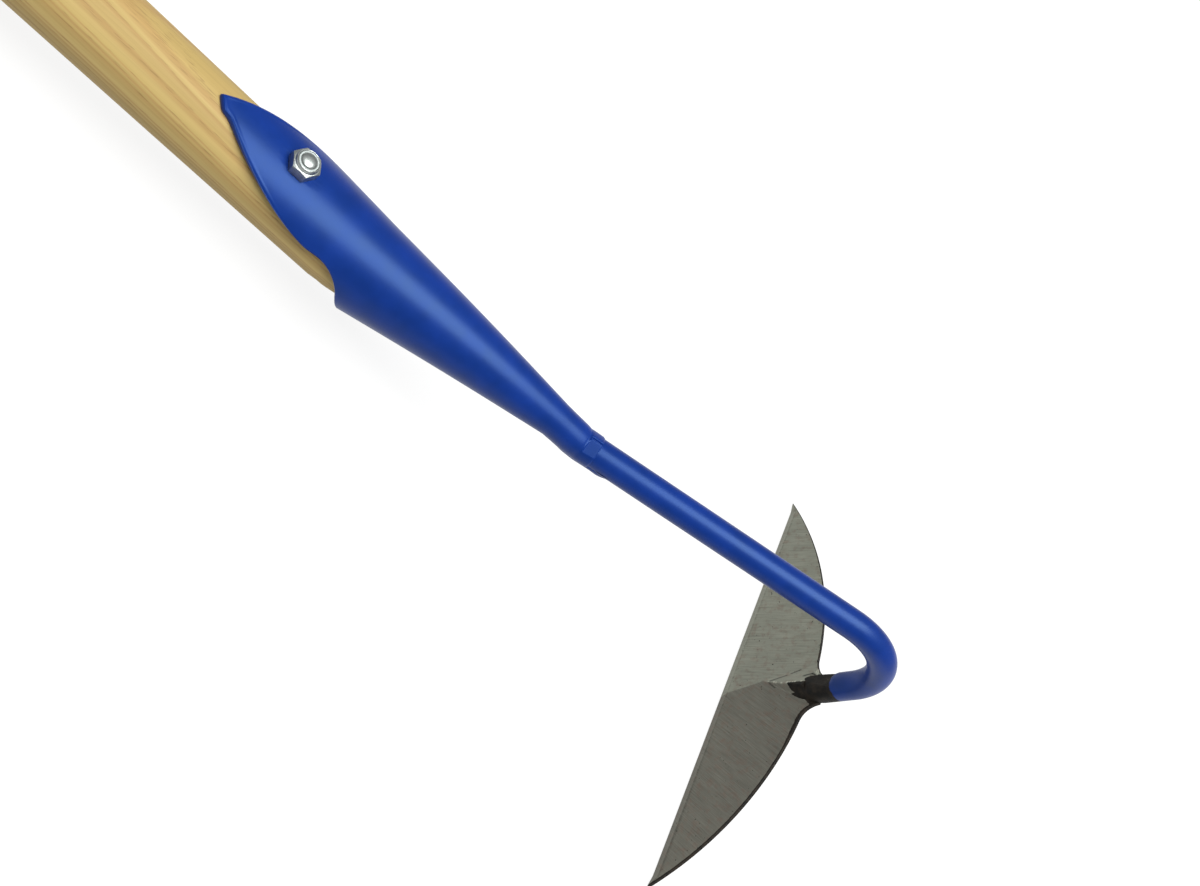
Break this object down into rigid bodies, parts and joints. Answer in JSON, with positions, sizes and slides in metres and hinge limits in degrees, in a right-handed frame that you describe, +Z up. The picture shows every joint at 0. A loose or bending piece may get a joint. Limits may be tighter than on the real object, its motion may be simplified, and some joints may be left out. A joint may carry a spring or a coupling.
{
  "type": "garden hoe",
  "caption": "Long-handled swan-neck draw hoe: half-moon steel blade on a bent round bar, blue folded sheet-steel socket with spear tongue, ash handle with a hanging hole.",
  "frame": {"origin": "on the floor, under the middle of the hoe's length and width, with the hoe lying at rest on its cutting edge and on the domed end of its handle", "axes": "+X along the hoe towards the domed end of the handle, +Z up, +Y to the left of someone who looks along +X"},
  "size_m": [1.6203, 0.215, 0.1039],
  "materials": {
    "ash": "smooth turned ash, lightly oiled, long brown grain",
    "blue_paint": "satin powder coat, blue",
    "ground_steel": "coarsely ground bare steel with faint lines and dark pits",
    "scaled_steel": "part ground, part black forging scale",
    "zinc_plate": "bright zinc plate",
    "nylon": "white nylon"
  },
  "bodies": {
    "root": {"handle": "ash", "socket": "blue_paint", "neck_bar": "blue_paint", "neck_weld": "blue_paint", "blade": "ground_steel", "blade_weld": "scaled_steel", "carriage_bolt": "zinc_plate", "lock_nut": "zinc_plate", "lock_ring": "nylon"}
  },
  "joints": []
}
